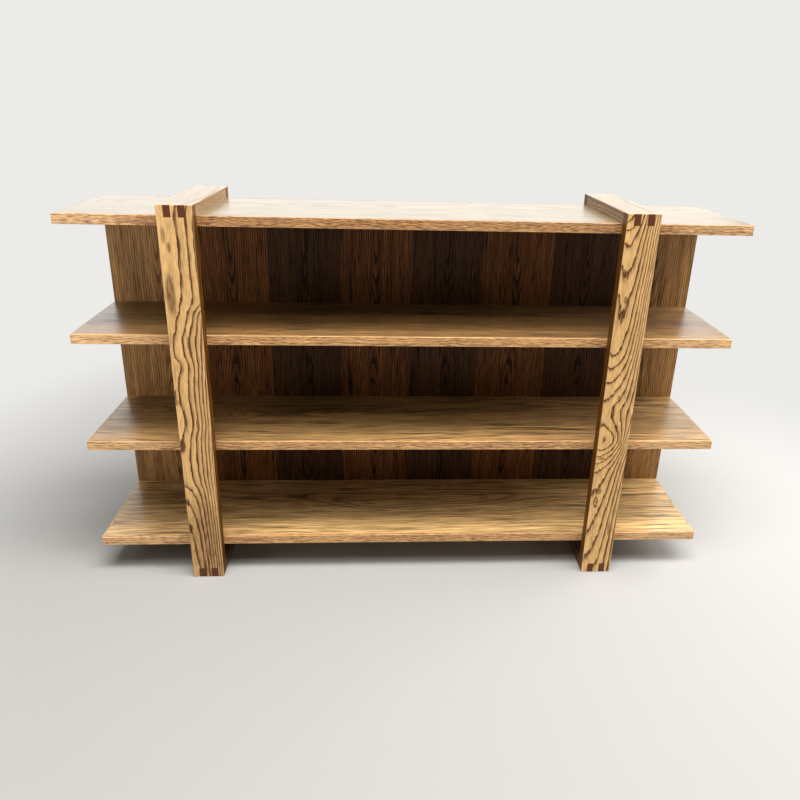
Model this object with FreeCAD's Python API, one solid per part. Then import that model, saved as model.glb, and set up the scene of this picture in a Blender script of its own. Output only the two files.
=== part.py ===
"""Long open bookshelf in stained oak, built from boards and veneered panels.

Two upright frames stand across the shelves. Each frame is a closed ring of four boards, a front post,
a rear post, a top rail and a bottom rail, finger-jointed at the four corners. Four shelves run through
both frames and stand out past them at each end. A back panel fills the space between the shelves and
the rear posts. Shelves and back panel are cores with a veneer on each face and solid lippings on the
edges that show. Blind loose tenons join the posts and the top rails to the shelves.

Lengths are in millimetres. X runs along the shelves, Y runs from front to back and Z is up. The origin
is on the floor, under the middle of the whole piece.
"""
import FreeCAD, Part
import os

# Boards of the two frames
frame_board_width = 101.6
frame_board_thickness = 35.0
fingers_per_corner = 5
clear_between_frames = 1244.6

# Shelves, from the top one down
shelf_names = ("top", "upper", "lower", "bottom")
shelf_thickness = 31.0
shelf_depth = 355.6
shelf_overhang = 304.8
tier_clear_height = 335.0
toe_gap = 71.0

# Back panel, the rebate that takes its top edge, and the leaves of veneer on its face
back_thickness = 18.0
back_rebate_height = 14.0
whole_leaves = 8
closing_leaf_width = 27.0

# Veneers, the solid strips glued round the veneered panels, and the rounding of every arris
veneer_thickness = 0.6
lipping_thickness = 7.0
arris_radius = 1.5

# Loose tenons with planed corners, and how far they reach into what they join
tenon_width = 50.0
tenon_thickness = 8.0
tenon_chamfer = 1.0
reach_in_post = 20.0
reach_in_shelf = 32.0
rail_tenon_reach_in_rail = 20.0
rail_tenon_reach_in_shelf = 18.0
rail_tenon_depth_shares = (0.3, 0.65)

# Room for glue round a loose tenon and past its ends
mortise_clearance = 0.1
end_clearance = 1.0

# How far a cutting shape runs past the wood that it cuts
overrun = 5.0

# Sizes that follow
shelf_pitch = tier_clear_height + shelf_thickness
shelves_height = shelf_thickness + (len(shelf_names) - 1) * shelf_pitch
frame_height = frame_board_thickness + toe_gap + shelves_height + frame_board_thickness
frame_depth = shelf_depth + 2 * frame_board_thickness
shelf_length = clear_between_frames + 2 * frame_board_width + 2 * shelf_overhang
finger_width = frame_board_width / fingers_per_corner
half_board = frame_board_width / 2
half_length = shelf_length / 2
panel_end = half_length - lipping_thickness
leaf_width = (2 * panel_end - closing_leaf_width) / whole_leaves
front_face = -frame_depth / 2
back_face = frame_depth / 2
shelf_front = front_face + frame_board_thickness
shelf_back = back_face - frame_board_thickness
back_front = shelf_back - back_thickness

frame_middle = clear_between_frames / 2 + half_board
frame_middles = {"left": -frame_middle, "right": frame_middle}
shelf_tops = {}
for level, name in enumerate(shelf_names):
    shelf_tops[name] = frame_height - frame_board_thickness - level * shelf_pitch
back_foot = shelf_tops["bottom"] - shelf_thickness
back_top = shelf_tops["top"] - shelf_thickness + back_rebate_height

pieces = {}


def block(low, high):
    """A square-edged block between two corners."""
    size = [top - bottom for bottom, top in zip(low, high)]
    return Part.makeBox(*size, FreeCAD.Vector(*low))


def divide(shape, low, high):
    """The part of a shape that lies between two corners."""
    return shape.common(block(low, high))


def eased(shape, is_arris):
    """Round the straight edges whose middle point passes the test."""
    arrises = [edge for edge in shape.Edges if is_arris(edge.CenterOfMass)]
    return shape.makeFillet(arris_radius, arrises)


def near(value, target):
    """True where two places are the same but for rounding."""
    return abs(value - target) < arris_radius / 2


# Finger-jointed frames

def corner_fingers(middle, first):
    """Every second finger at the four corners of a frame, as cutting blocks."""
    blocks = []
    for finger in range(first, fingers_per_corner, 2):
        low_x = middle - half_board + finger * finger_width
        high_x = low_x + finger_width
        if finger == 0:
            low_x -= overrun
        if finger == fingers_per_corner - 1:
            high_x += overrun
        for low_y, high_y in ((front_face - overrun, shelf_front), (shelf_back, back_face + overrun)):
            for low_z, high_z in ((-overrun, frame_board_thickness),
                                  (frame_height - frame_board_thickness, frame_height + overrun)):
                blocks.append(block((low_x, low_y, low_z), (high_x, high_y, high_z)))
    return blocks


def frame_ring(middle):
    """The whole closed frame in one piece, with its outer arrises rounded."""
    low_x = middle - half_board
    high_x = middle + half_board
    outside = block((low_x, front_face, 0), (high_x, back_face, frame_height))
    window = block((low_x - overrun, shelf_front, frame_board_thickness),
                   (high_x + overrun, shelf_back, frame_height - frame_board_thickness))
    ring = outside.cut(window)

    def is_outer_arris(point):
        on_side = near(point.x, low_x) or near(point.x, high_x)
        on_end = near(point.y, front_face) or near(point.y, back_face)
        on_top_or_foot = near(point.z, frame_height) or near(point.z, 0)
        return (on_side and (on_end or on_top_or_foot)) or (on_end and on_top_or_foot)

    return eased(ring, is_outer_arris)


for side, middle in frame_middles.items():
    ring = frame_ring(middle)
    low = (middle - half_board - overrun, front_face - overrun, -overrun)
    high = (middle + half_board + overrun, back_face + overrun, frame_height + overrun)
    boards = {
        "front_post": divide(ring, low, (high[0], shelf_front, high[2])),
        "rear_post": divide(ring, (low[0], shelf_back, low[2]), high),
        "bottom_rail": divide(ring, low, (high[0], high[1], frame_board_thickness)),
        "top_rail": divide(ring, (low[0], low[1], frame_height - frame_board_thickness), high),
    }
    for board, shape in boards.items():
        first_cut = 1 if board.endswith("post") else 0
        pieces[f"{side}_{board}"] = shape.cut(corner_fingers(middle, first_cut))


# Shelves

def shelf_body(name):
    """One shelf before it is divided into core, veneers and lippings."""
    top = shelf_tops[name]
    underside = top - shelf_thickness
    covers_back = name == "top"
    back = shelf_back if covers_back else back_front
    body = block((-half_length, shelf_front, underside), (half_length, back, top))
    if covers_back:
        rebate = block((-half_length - overrun, back_front, underside - overrun),
                       (half_length + overrun, back + overrun, back_top))
        body = body.cut(rebate)

    def is_open_arris(point):
        on_face = near(point.z, top) or near(point.z, underside)
        on_front = near(point.y, shelf_front)
        on_end = near(abs(point.x), half_length)
        on_back = covers_back and near(point.y, back)
        return (on_face and (on_front or on_end or on_back)) or (on_end and (on_front or on_back))

    return eased(body, is_open_arris)


for name in shelf_names:
    body = shelf_body(name)
    shelf = f"{name}_shelf"
    top_glue_line = shelf_tops[name] - veneer_thickness
    underside_glue_line = shelf_tops[name] - shelf_thickness + veneer_thickness
    behind_front = shelf_front + lipping_thickness
    low = (-half_length - overrun, shelf_front - overrun, shelf_tops[name] - shelf_thickness - overrun)
    high = (half_length + overrun, back_face + overrun, shelf_tops[name] + overrun)
    panel_back = high[1]
    if name == "top":
        panel_back = shelf_back - lipping_thickness
        pieces[f"{shelf}_back_lipping"] = divide(body, (-panel_end, panel_back, low[2]), (panel_end, *high[1:]))
    pieces[f"{shelf}_front_lipping"] = divide(body, low, (high[0], behind_front, high[2]))
    pieces[f"{shelf}_left_lipping"] = divide(body, (low[0], behind_front, low[2]), (-panel_end, *high[1:]))
    pieces[f"{shelf}_right_lipping"] = divide(body, (panel_end, behind_front, low[2]), high)
    panel = divide(body, (-panel_end, behind_front, low[2]), (panel_end, panel_back, high[2]))
    pieces[f"{shelf}_top_veneer"] = divide(panel, (*low[:2], top_glue_line), high)
    pieces[f"{shelf}_core"] = divide(panel, (*low[:2], underside_glue_line), (*high[:2], top_glue_line))
    pieces[f"{shelf}_underside_veneer"] = divide(panel, low, (*high[:2], underside_glue_line))


# Back panel

body = block((-half_length, back_front, back_foot), (half_length, shelf_back, back_top))
body = eased(body, lambda point: near(abs(point.x), half_length) and near(point.y, shelf_back))
low = (-half_length - overrun, back_front - overrun, back_foot - overrun)
high = (half_length + overrun, shelf_back + overrun, back_top + overrun)
face_glue_line = back_front + veneer_thickness
rear_glue_line = shelf_back - veneer_thickness
pieces["back_panel_left_lipping"] = divide(body, low, (-panel_end, *high[1:]))
pieces["back_panel_right_lipping"] = divide(body, (panel_end, *low[1:]), high)
panel = divide(body, (-panel_end, *low[1:]), (panel_end, *high[1:]))
pieces["back_panel_core"] = divide(panel, (low[0], face_glue_line, low[2]), (high[0], rear_glue_line, high[2]))
pieces["back_panel_rear_veneer"] = divide(panel, (low[0], rear_glue_line, low[2]), high)

# The face veneer is laid in leaves from the right, every second one turned over, and a narrow one closes it
straight_leaves = []
turned_leaves = []
for number in range(whole_leaves + 1):
    leaf_right = panel_end - number * leaf_width
    leaf_left = max(leaf_right - leaf_width, -panel_end)
    leaf = divide(panel, (leaf_left, *low[1:]), (leaf_right, face_glue_line, high[2]))
    if number % 2:
        turned_leaves.append(leaf)
    else:
        straight_leaves.append(leaf)
pieces["back_panel_straight_leaves"] = Part.makeCompound(straight_leaves)
pieces["back_panel_turned_leaves"] = Part.makeCompound(turned_leaves)


# Loose tenons

def joined(names, low, high, room):
    """Cut the mortise for one loose tenon in the named pieces, and give the tenon."""
    mortise_low = [place - gap for place, gap in zip(low, room)]
    mortise_high = [place + gap for place, gap in zip(high, room)]
    for name in names:
        pieces[name] = pieces[name].cut(block(mortise_low, mortise_high))
    tenon = block(low, high)
    return tenon.makeChamfer(tenon_chamfer, tenon.Edges)


half_width = tenon_width / 2
half_thickness = tenon_thickness / 2
room_along_y = (mortise_clearance, end_clearance, mortise_clearance)
room_along_z = (mortise_clearance, mortise_clearance, end_clearance)

for name in shelf_names:
    shelf = f"{name}_shelf"
    level = shelf_tops[name] - shelf_thickness / 2
    rear_level = level
    behind = ["back_panel_rear_veneer", "back_panel_core", "back_panel_straight_leaves", "back_panel_turned_leaves"]
    if name == "top":
        rear_level = (back_top + shelf_tops["top"]) / 2
        behind = ["top_shelf_back_lipping"]
    front_tenons = []
    rear_tenons = []
    for side, middle in frame_middles.items():
        names = [f"{side}_front_post", f"{shelf}_front_lipping", f"{shelf}_core"]
        low = (middle - half_width, shelf_front - reach_in_post, level - half_thickness)
        high = (middle + half_width, shelf_front + reach_in_shelf, level + half_thickness)
        front_tenons.append(joined(names, low, high, room_along_y))
        names = [f"{side}_rear_post", *behind, f"{shelf}_core"]
        low = (middle - half_width, back_front - reach_in_shelf, rear_level - half_thickness)
        high = (middle + half_width, shelf_back + reach_in_post, rear_level + half_thickness)
        rear_tenons.append(joined(names, low, high, room_along_y))
    pieces[f"{shelf}_front_tenons"] = Part.makeCompound(front_tenons)
    pieces[f"{shelf}_rear_tenons"] = Part.makeCompound(rear_tenons)

for side, middle in frame_middles.items():
    names = [f"{side}_top_rail", "top_shelf_top_veneer", "top_shelf_core"]
    rail_tenons = []
    for share in rail_tenon_depth_shares:
        place = shelf_front + share * shelf_depth
        low = (middle - half_thickness, place - half_width, shelf_tops["top"] - rail_tenon_reach_in_shelf)
        high = (middle + half_thickness, place + half_width, shelf_tops["top"] + rail_tenon_reach_in_rail)
        rail_tenons.append(joined(names, low, high, room_along_z))
    pieces[f"{side}_top_rail_tenons"] = Part.makeCompound(rail_tenons)


# One file for each piece

os.makedirs("parts", exist_ok=True)
for node, shape in pieces.items():
    shape.exportStep(f"parts/{node}.step")
    print(f"{node}: {len(shape.Solids)} solids, {shape.Volume / 1000:.1f} cm3, valid {shape.isValid()}")
print(f"{len(pieces)} nodes, {shelf_length:.1f} x {frame_depth:.1f} x {frame_height:.1f} mm")
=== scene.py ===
# %% [markdown]
# # A long bookshelf in stained oak
# The real piece is made of flat boards and veneered panels, and every edge is straight with a small
# rounding. Its whole character is in the wood: bold dark rings on the two front posts, fine streaks on
# the shelves, and a back of veneer leaves that are lighter and darker in turn. So the shapes come from the
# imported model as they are, and this script spends its effort on wood that is cut from a tree in three
# dimensions, which makes the face, the edge and the end of a board agree with each other.

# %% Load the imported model
import math
import bpy
from mathutils import Matrix, Vector


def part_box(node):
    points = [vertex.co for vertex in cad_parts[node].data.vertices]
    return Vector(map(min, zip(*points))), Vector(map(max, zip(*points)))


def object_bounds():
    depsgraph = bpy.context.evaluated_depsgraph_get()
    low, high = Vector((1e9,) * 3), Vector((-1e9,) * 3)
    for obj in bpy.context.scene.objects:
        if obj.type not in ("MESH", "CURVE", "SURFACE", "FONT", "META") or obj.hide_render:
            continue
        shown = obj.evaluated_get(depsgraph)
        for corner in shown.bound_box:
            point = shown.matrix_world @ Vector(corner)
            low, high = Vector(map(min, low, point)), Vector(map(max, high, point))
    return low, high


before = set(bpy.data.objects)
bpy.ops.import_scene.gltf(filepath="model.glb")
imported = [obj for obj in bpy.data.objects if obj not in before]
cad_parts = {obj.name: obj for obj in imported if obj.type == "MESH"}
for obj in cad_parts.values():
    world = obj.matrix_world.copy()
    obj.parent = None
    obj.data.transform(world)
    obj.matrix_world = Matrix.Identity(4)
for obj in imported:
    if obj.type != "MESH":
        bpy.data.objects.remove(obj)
cad_low, cad_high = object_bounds()
print("box in m:", [round(v, 4) for v in cad_high - cad_low])

# %% [markdown]
# ## The camera
# A photograph fixes its own camera. The place, the three turns and the lens below were worked out from
# points that can be found both in the picture and on the piece, such as the corners of the shelves. The
# picture was framed again after it was taken, so its true centre is off the middle, and the lens is
# shifted by that much.

# %% Note where the photograph was taken
camera_place = Vector((-0.0808, -2.0154, 1.5599))
camera_yaw = -0.05863
camera_pitch = -0.32542
camera_roll = 0.02869
picture_size = 800
focal_length_px = 633.0
true_centre_px = (419.86, 315.92)
sensor_width_mm = 36.0
print("the camera looks down by", round(-math.degrees(camera_pitch), 1), "degrees")

# %% [markdown]
# The three turns give the directions that the camera calls right, up and forward. Yaw turns it about the
# upright, pitch tips it down and roll leans it to one side. A camera looks along its own -Z, so its matrix
# has the columns right, up and back.

# %% Put the camera there
ahead = Vector((-math.sin(camera_yaw), math.cos(camera_yaw), 0))
level_right = Vector((math.cos(camera_yaw), math.sin(camera_yaw), 0))
upwards = Vector((0, 0, 1))
forward = ahead * math.cos(camera_pitch) + upwards * math.sin(camera_pitch)
level_up = upwards * math.cos(camera_pitch) - ahead * math.sin(camera_pitch)
right = level_right * math.cos(camera_roll) + level_up * math.sin(camera_roll)
up = level_up * math.cos(camera_roll) - level_right * math.sin(camera_roll)

camera_data = bpy.data.cameras.new("camera")
camera_data.sensor_width = sensor_width_mm
camera_data.lens = sensor_width_mm * focal_length_px / picture_size
camera_data.shift_x = 0.5 - true_centre_px[0] / picture_size
camera_data.shift_y = true_centre_px[1] / picture_size - 0.5
camera = bpy.data.objects.new("camera", camera_data)
camera.matrix_world = Matrix.Translation(camera_place) @ Matrix((right, up, -forward)).transposed().to_4x4()
bpy.context.scene.collection.objects.link(camera)
bpy.context.scene.camera = camera
print("lens", round(camera_data.lens, 2), "mm")

# %% [markdown]
# ## Colours and nodes
# Colours are written as the eye reads them, in hex, and one function turns them into the linear values that
# light needs. A second small function adds a node, with its settings and what feeds it, so that a material
# reads as a list of what happens to the wood. Sockets go by their names. In arithmetic they are only the
# first, second and third number, and a Mix has several called A and B, of which the colours are the ones
# numbered here.

# %% Two helpers for materials
first_colour = 6
second_colour = 7
mixed_colour = 2


def colour(hex_text):
    """A colour written as #rrggbb, as linear red, green, blue and alpha."""
    linear = []
    for start in (1, 3, 5):
        value = int(hex_text[start:start + 2], 16) / 255
        linear.append(value / 12.92 if value <= 0.04045 else ((value + 0.055) / 1.055) ** 2.4)
    return (*linear, 1.0)


def add(tree, kind, feeds=None, **settings):
    """Add one node. Each feed is a plain value or the output of another node."""
    node = tree.nodes.new(kind)
    for name, value in settings.items():
        setattr(node, name, value)
    for socket, value in (feeds or {}).items():
        if isinstance(value, bpy.types.NodeSocket):
            tree.links.new(value, node.inputs[socket])
        else:
            node.inputs[socket].default_value = value
    return node


print("stain on oak:", [round(v, 3) for v in colour("#9b764a")])

# %% [markdown]
# ## Where a point lies in its board
# Wood has three directions: along the grain, across the face and through the thickness. Each board has its
# own middle, so the same recipe gives a different piece of the tree on every board. All distances in the
# recipes are in millimetres, as a joiner would measure them. The axes of a board are the numbers of X, Y and
# Z, which are 0, 1 and 2, in the order along, across and through.

# %% Measure from the middle of a board
mm_per_m = 1000


def place_in_board(tree, axes, middle):
    """Distances in mm from the board's middle: along the grain, across the face, through the thickness."""
    coordinates = add(tree, "ShaderNodeTexCoord")
    in_mm = add(tree, "ShaderNodeMapping", {
        "Vector": coordinates.outputs["Object"],
        "Location": [-mm_per_m * value for value in middle],
        "Scale": (mm_per_m, mm_per_m, mm_per_m)})
    split = add(tree, "ShaderNodeSeparateXYZ", {0: in_mm.outputs[0]})
    return [split.outputs[axis] for axis in axes]


def box_of(nodes):
    """Lowest and highest corner of several CAD nodes together."""
    corners = [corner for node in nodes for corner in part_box(node)]
    low = Vector([min(corner[axis] for corner in corners) for axis in range(3)])
    high = Vector([max(corner[axis] for corner in corners) for axis in range(3)])
    return low, high


print("top of the left posts:", [round(v, 3) for v in box_of(["left_front_post", "left_rear_post"])[1]])

# %% [markdown]
# ## Streaks along the grain
# Nearly every mark in wood is long and thin and follows the grain: pores, rays, soft bands of colour. One
# noise that is stretched along the board draws them all. Only its length and width change. Each board has
# its own seed, and each kind of mark adds to it, so that no two of them lie on each other.

# %% Draw a noise out along the grain
seed_steps = (7.31, 3.17, 5.73)
mark_seeds = {"pores": 1, "bands": 2, "lines": 3, "marks": 5, "gathering": 7}


def streaks(tree, place, length, width, seed, detail=2.0):
    """Noise from 0 to 1 that is drawn out along the grain. A streak's length and width are in mm."""
    joined = add(tree, "ShaderNodeCombineXYZ", {0: place[0], 1: place[1], 2: place[2]})
    stretched = add(tree, "ShaderNodeMapping", {
        "Vector": joined.outputs[0],
        "Location": [seed * step for step in seed_steps],
        "Scale": (1 / length, 1 / width, 1 / width)})
    noise = add(tree, "ShaderNodeTexNoise", {"Vector": stretched.outputs[0], "Scale": 1.0, "Detail": detail})
    return noise.outputs["Fac"]


print("kinds of mark:", list(mark_seeds))

# %% [markdown]
# Some things stray slowly to one side and back, such as the heart of a tree. A noise on one line gives that.
# It seldom leaves its middle part, so that part is stretched to the whole reach.

# %% Let something wander as it goes along the grain
wander_step = 9.7
noise_low = 0.2
noise_high = 0.8


def wander(tree, along, length, reach, seed):
    """How far something strays to either side, in mm, as it goes along the grain."""
    position = add(tree, "ShaderNodeMath", {0: along, 1: 1 / length, 2: seed * wander_step},
                   operation="MULTIPLY_ADD")
    noise = add(tree, "ShaderNodeTexNoise", {"W": position.outputs[0], "Scale": 1.0, "Detail": 1.0},
                noise_dimensions="1D")
    spread = add(tree, "ShaderNodeMapRange", {
        "Value": noise.outputs["Fac"], "From Min": noise_low, "From Max": noise_high,
        "To Min": -reach, "To Max": reach}, clamp=False)
    return spread.outputs[0]


print("part of the noise that is used:", noise_low, "to", noise_high)

# %% [markdown]
# ## Growth rings
# A tree is a stack of cones round its pith. A ring shows wherever a board's surface cuts a cone, so the
# distance from the pith, counted in rings, is all that the figure needs. Where the pith lies just behind the
# face, the rings open into arches. Where it lies to the side, they run straight and close. The pith of a real
# tree wanders, and the rings ripple, which is what makes the tips of the arches jagged. Lean years crowd
# some rings together. A cut holds all of this in mm, with the pith's place across and through the board.

# %% Count the rings from the pith
dip_seed_step = 0.5
ripple_width = 6
lean_year_rhythm = 0.45
lean_year_pull = 1.6


def distance_from_pith(tree, place, cut):
    """How far a point is from a pith that sways to the sides and dips, in mm."""
    along, across, through = place
    pith_across = wander(tree, along, cut["sway_length"], cut["sway"], cut["seed"])
    pith_depth = wander(tree, along, cut["sway_length"], cut["dip"], cut["seed"] + dip_seed_step)
    aside = add(tree, "ShaderNodeMath", {0: across, 1: pith_across}, operation="SUBTRACT")
    below = add(tree, "ShaderNodeMath", {0: through, 1: pith_depth}, operation="SUBTRACT")
    section = add(tree, "ShaderNodeCombineXYZ", {0: aside.outputs[0], 1: below.outputs[0]})
    from_pith = add(tree, "ShaderNodeVectorMath", {0: section.outputs[0], 1: (*cut["pith"], 0)},
                    operation="DISTANCE")
    return from_pith.outputs["Value"]


def rings_from_pith(tree, place, cut):
    """The rings between the pith and a point of the board, how wide one is in mm, and no patches."""
    from_pith = distance_from_pith(tree, place, cut)
    ripple = add(tree, "ShaderNodeMapRange", {
        "Value": streaks(tree, place, cut["ripple_length"], ripple_width, cut["seed"]),
        "To Min": -cut["ripple"], "To Max": cut["ripple"]}, clamp=False)
    rippled = add(tree, "ShaderNodeMath", {0: from_pith, 1: ripple.outputs[0]}, operation="ADD")
    even = add(tree, "ShaderNodeMath", {0: rippled.outputs[0], 1: 1 / cut["ring"]}, operation="MULTIPLY")
    lean_years = add(tree, "ShaderNodeTexNoise", {
        "W": even.outputs[0], "Scale": lean_year_rhythm, "Detail": 0.0}, noise_dimensions="1D")
    uneven = add(tree, "ShaderNodeMath", {
        0: lean_years.outputs["Fac"], 1: lean_year_pull, 2: even.outputs[0]}, operation="MULTIPLY_ADD")
    return uneven.outputs[0], cut["ring"], 0.0


print("lean years come about every", round(1 / lean_year_rhythm, 1), "rings")

# %% [markdown]
# ## The figure of the two front posts
# These two boards are what everyone looks at, and their rings are wild: long lines that swell, pinch and
# close into eyes. No simple tree gives them, so their rings are counted one by one instead. At chosen
# distances below the top of the post, the count is noted at its left edge, in its middle and at its right
# edge. A smooth curve joins each column of counts down the post. Such a curve runs from 0 to 1 both ways, so
# the counts are scaled to that and back.

# %% Join the counts down a post
def counts_down_a_post(tree, along, height, counts):
    """Rings at the left edge, in the middle and at the right edge, for a point along the post."""
    fewest = min(min(row[1:]) for row in counts)
    most = max(max(row[1:]) for row in counts)
    down = add(tree, "ShaderNodeMapRange", {"Value": along, "From Min": height / 2, "From Max": -height / 2})
    columns = []
    for column in (1, 2, 3):
        curve = add(tree, "ShaderNodeFloatCurve", {"Value": down.outputs[0]})
        points = curve.mapping.curves[0].points
        shares = [(row[column] - fewest) / (most - fewest) for row in counts]
        points[0].location = (0, shares[0])
        points[1].location = (1, shares[-1])
        for row, share in zip(counts[1:-1], shares[1:-1]):
            points.new(row[0] / height, share)
        for point in points:
            point.handle_type = "AUTO_CLAMPED"
        curve.mapping.update()
        rings = add(tree, "ShaderNodeMapRange", {"Value": curve.outputs[0], "To Min": fewest, "To Max": most},
                    clamp=False)
        columns.append(rings.outputs[0])
    return columns


post_low, post_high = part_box("left_front_post")
print("a front post in mm:", [round(mm_per_m * side, 1) for side in post_high - post_low])

# %% [markdown]
# Across the post a parabola joins the three counts. It is the straight line between the two edges, and an
# arch on it as high as the middle count stands off that line. The product of a share and the rest is a
# quarter in the middle, so four of them make an arch that is 1 high. The slope of the parabola says how
# many rings there would be across the post, and so how wide one is.

# %% Join the counts across a post
arch_scale = 4.0
fewest_rings_across = 3.2


def parabola(tree, share, left, middle, right):
    """The rings at a share of the width, and how far the middle count stands off the line of the edges."""
    chord = add(tree, "ShaderNodeMix", {"Factor": share, "A": left, "B": right}).outputs[0]
    halfway = add(tree, "ShaderNodeMix", {"Factor": 0.5, "A": left, "B": right}).outputs[0]
    sag = add(tree, "ShaderNodeMath", {0: middle, 1: halfway}, operation="SUBTRACT").outputs[0]
    rest = add(tree, "ShaderNodeMath", {0: 1.0, 1: share}, operation="SUBTRACT").outputs[0]
    product = add(tree, "ShaderNodeMath", {0: share, 1: rest}, operation="MULTIPLY").outputs[0]
    arch = add(tree, "ShaderNodeMath", {0: product, 1: arch_scale}, operation="MULTIPLY").outputs[0]
    rings = add(tree, "ShaderNodeMath", {0: arch, 1: sag, 2: chord}, operation="MULTIPLY_ADD").outputs[0]
    return rings, sag


def ring_width(tree, share, left, right, sag, width):
    """How wide a ring is on the face in mm, from the slope of the parabola."""
    rise = add(tree, "ShaderNodeMath", {0: right, 1: left}, operation="SUBTRACT").outputs[0]
    bend = add(tree, "ShaderNodeMapRange", {"Value": share, "To Min": arch_scale, "To Max": -arch_scale})
    slope = add(tree, "ShaderNodeMath", {0: sag, 1: bend.outputs[0], 2: rise}, operation="MULTIPLY_ADD")
    steep = add(tree, "ShaderNodeMath", {0: slope.outputs[0]}, operation="ABSOLUTE").outputs[0]
    held = add(tree, "ShaderNodeMath", {0: steep, 1: fewest_rings_across}, operation="MAXIMUM").outputs[0]
    return add(tree, "ShaderNodeMath", {0: width, 1: held}, operation="DIVIDE").outputs[0]


print("widest ring in mm:", round(mm_per_m * (post_high - post_low).x / fewest_rings_across, 1))

# %% [markdown]
# An eye is a hill or a hollow in the count, so that rings close round it. A patch is a spot where the stain
# soaked into short grain. Both are ovals that are full in their core and fade to the rim.

# %% Draw an oval
eye_core = 0.35
patch_core = 0.5


def oval(tree, place, size, spot, core):
    """1 in the core of an oval spot on a post's face and 0 at its rim. Sizes are half lengths in mm."""
    below_top, from_left, half_length, half_width = spot
    offset = add(tree, "ShaderNodeCombineXYZ", {0: place[0], 1: place[1]})
    scaled = add(tree, "ShaderNodeMapping", {
        "Vector": offset.outputs[0],
        "Location": ((below_top - size[0] / 2) / half_length, (size[1] / 2 - from_left) / half_width, 0),
        "Scale": (1 / half_length, 1 / half_width, 0)})
    reach = add(tree, "ShaderNodeVectorMath", {0: scaled.outputs[0]}, operation="LENGTH")
    inside = add(tree, "ShaderNodeMapRange", {
        "Value": reach.outputs["Value"], "From Min": core, "From Max": 1.0, "To Min": 1.0, "To Max": 0.0},
        interpolation_type="SMOOTHSTEP")
    return inside.outputs[0]


print("core of an eye:", eye_core, "and of a patch:", patch_core)

# %% [markdown]
# Behind the face the count falls, because the pith is behind these boards, and faster on the left, where it
# is nearest. That gives the narrow sides of the post their own lines, which meet those of the face. At last
# a fine ripple makes the lines jagged.

# %% Put the figure of a front post together
fall_per_mm = {"left": -0.11, "right": -0.045}
post_ripple = {"length": 50, "width": 7, "rings": 0.24, "detail": 3.0}


def rings_counted_by_eye(tree, place, size, figure, seed):
    """The rings at a point of a front post, how wide one is in mm, and the stain of the patches."""
    counts, eyes, patches = figure
    height, width, thickness = size
    along, across, through = place
    left, middle, right = counts_down_a_post(tree, along, height, counts)
    share = add(tree, "ShaderNodeMapRange", {
        "Value": across, "From Min": -width / 2, "From Max": width / 2}).outputs[0]
    rings, sag = parabola(tree, share, left, middle, right)
    for *spot, rise in eyes:
        hill = oval(tree, place, size, spot, eye_core)
        rings = add(tree, "ShaderNodeMath", {0: hill, 1: rise, 2: rings}, operation="MULTIPLY_ADD").outputs[0]
    fall = add(tree, "ShaderNodeMapRange", {
        "Value": share, "To Min": fall_per_mm["left"], "To Max": fall_per_mm["right"]}).outputs[0]
    depth = add(tree, "ShaderNodeMath", {0: through, 1: thickness / 2}, operation="ADD").outputs[0]
    rings = add(tree, "ShaderNodeMath", {0: depth, 1: fall, 2: rings}, operation="MULTIPLY_ADD").outputs[0]
    fine = streaks(tree, place, post_ripple["length"], post_ripple["width"], seed, post_ripple["detail"])
    ripple = add(tree, "ShaderNodeMapRange", {
        "Value": fine, "To Min": -post_ripple["rings"], "To Max": post_ripple["rings"]})
    rings = add(tree, "ShaderNodeMath", {0: rings, 1: ripple.outputs[0]}, operation="ADD").outputs[0]
    mm_per_ring = ring_width(tree, share, left, right, sag, width)
    stained = 0.0
    for *spot, strength in patches:
        inside = oval(tree, place, size, spot, patch_core)
        stained = add(tree, "ShaderNodeMath", {0: inside, 1: strength, 2: stained},
                      operation="MULTIPLY_ADD").outputs[0]
    return rings, mm_per_ring, stained


print("the lines of the posts ripple by", post_ripple["rings"], "of a ring")

# %% [markdown]
# A row of counts holds mm below the top, then the rings at the left edge, in the middle and at the right
# edge. An eye holds mm below the top, mm from the left edge, half its length, half its width, and the rings
# by which it rises. A patch holds the same, with its share of stain at the end.

# %% Note the counts, eyes and patches of the front posts
left_post_counts = (
    (0, .6, .95, 2.9), (40, .6, 1.05, 3.2), (100, .55, 1.0, 3.3), (167, .5, 1.03, 3.2), (240, .5, 1.1, 3.1),
    (280, .5, 1.2, 3.0), (300, .52, 1.4, 3.7), (333, .6, 1.75, 5.1), (373, .5, 2.25, 5.5),
    (413, .7, 2.65, 5.7), (453, .8, 2.55, 6.0), (493, .55, 2.1, 6.4), (533, .8, 2.4, 6.6),
    (600, .95, 2.55, 6.9), (673, .68, 2.3, 7.0), (733, .85, 2.9, 7.2), (767, 1.05, 3.1, 7.4),
    (833, 1.5, 3.2, 7.6), (887, 1.3, 3.05, 7.6), (933, .65, 2.4, 7.5), (1000, -.25, 1.85, 7.4),
    (1100, -1.1, 1.35, 7.2), (1270, -1.7, .8, 6.9))
left_post_patches = (
    (262, 19, 84, 18, .6), (87, 14, 32, 9, .4), (121, 27, 20, 7, .5), (610, 3, 14, 9, .6),
    (765, 7, 30, 14, .7), (970, 4, 16, 10, .5), (1070, 6, 16, 9, .6), (115, 56, 30, 5, .5),
    (413, 56, 28, 5, .5), (683, 60, 25, 4, .5), (807, 48, 22, 4, .5), (270, 49, 20, 4, .4),
    (1140, 54, 230, 80, .28))
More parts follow.
